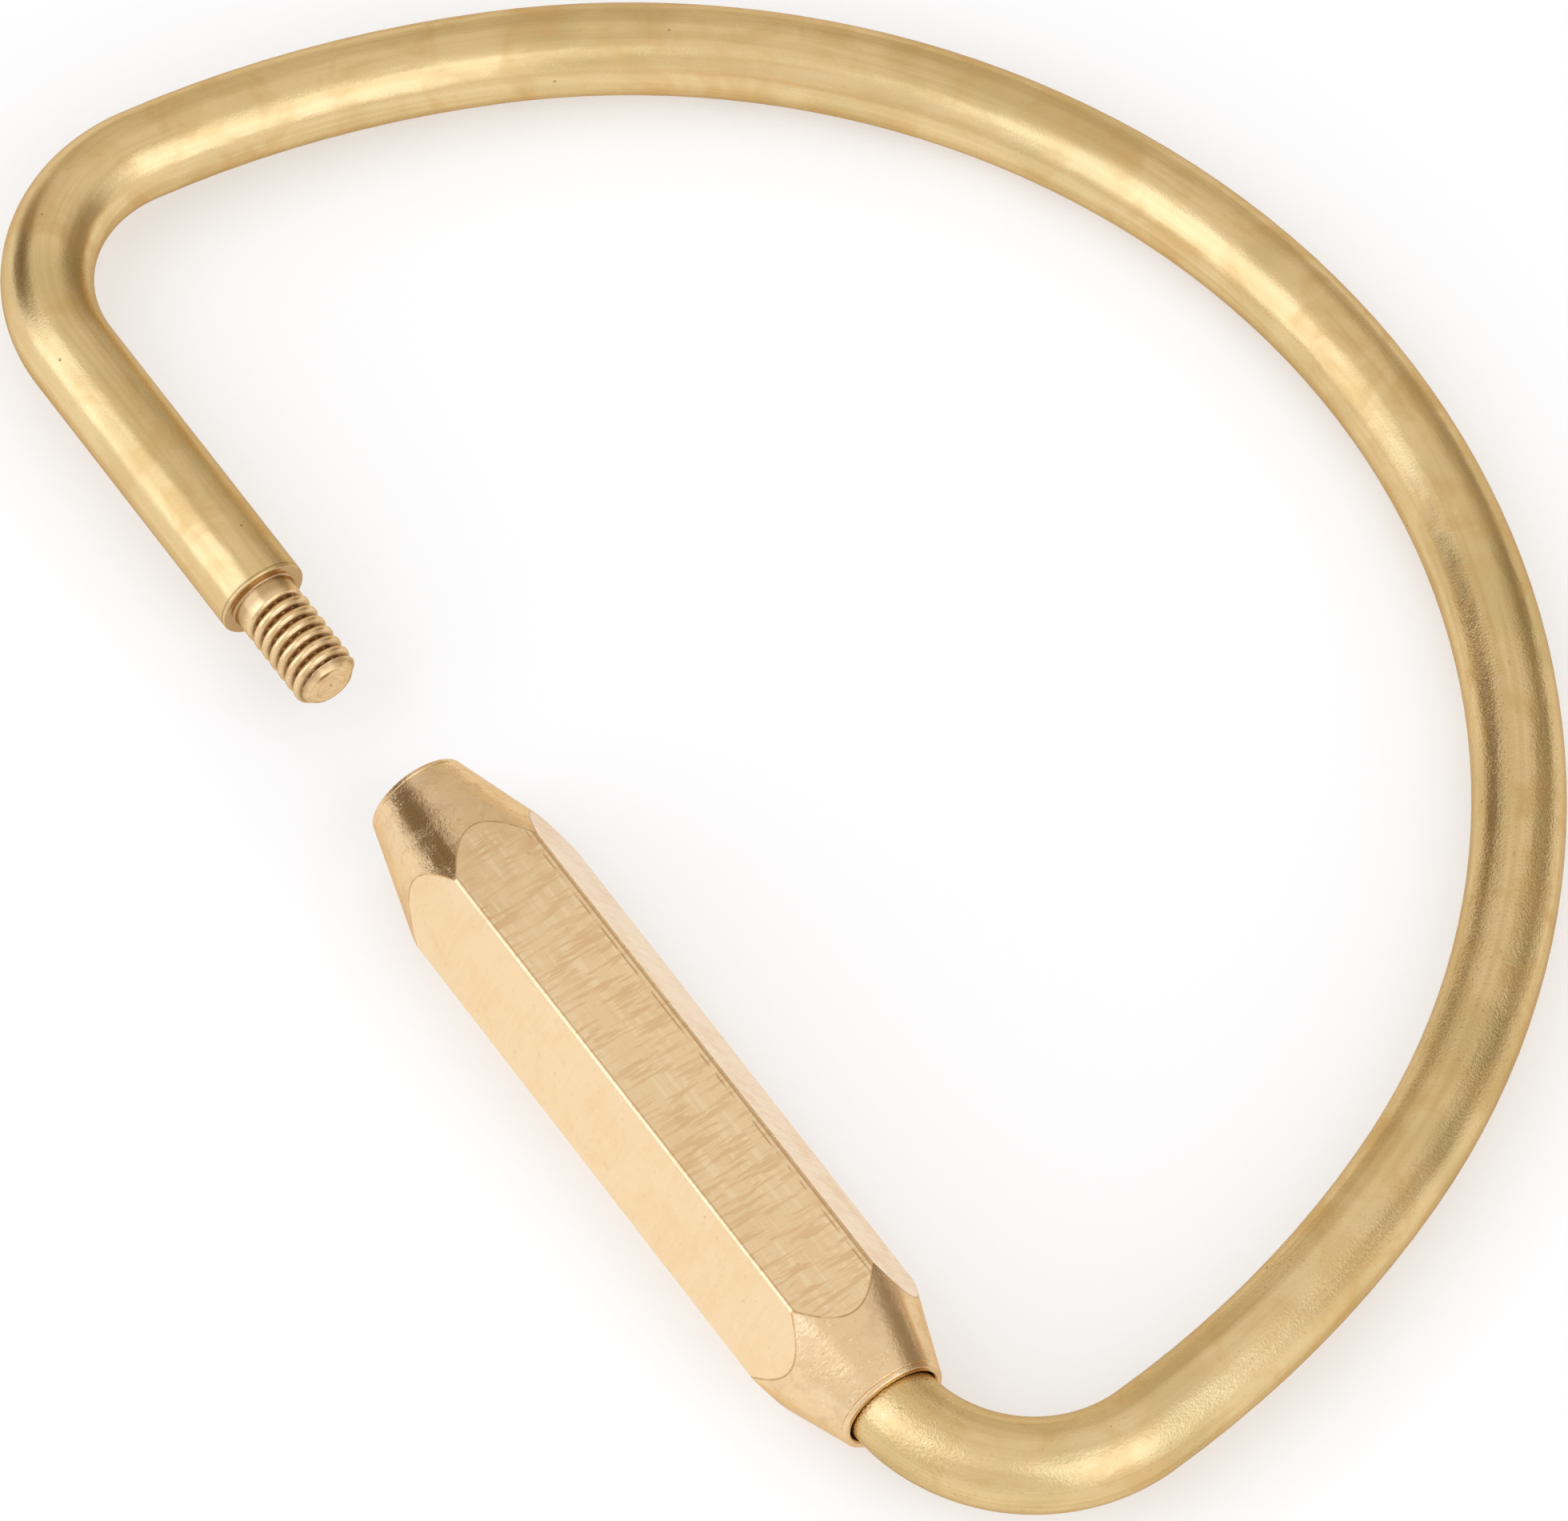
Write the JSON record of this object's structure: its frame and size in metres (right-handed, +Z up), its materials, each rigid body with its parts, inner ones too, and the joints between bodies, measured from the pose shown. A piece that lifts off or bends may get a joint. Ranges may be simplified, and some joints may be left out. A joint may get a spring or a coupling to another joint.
{
  "type": "screw-lock key ring",
  "caption": "D-shaped solid brass key ring, closed by a hexagonal screw sleeve that slides over its gap onto a threaded stud; shown open.",
  "frame": {"origin": "under the middle of the ring, on the surface that it lies on", "axes": "+X along the sleeve from the stud's side towards the sleeve's open end, +Y across the ring from the sleeve to the crown of the D, +Z up from the surface"},
  "size_m": [0.0794, 0.0512, 0.007],
  "materials": {
    "drawn_brass": "satin, lightly tarnished, drawn lengthwise",
    "turned_brass": "bright machined"
  },
  "bodies": {
    "ring": {"ring_rod": "drawn_brass"},
    "sleeve": {"hex_sleeve": "turned_brass"}
  },
  "joints": [
    {"name": "sleeve_slide", "type": "slide", "parent": "ring", "child": "sleeve", "axis": [-1, 0, 0], "range_m": [0, 0.01165]}
  ]
}
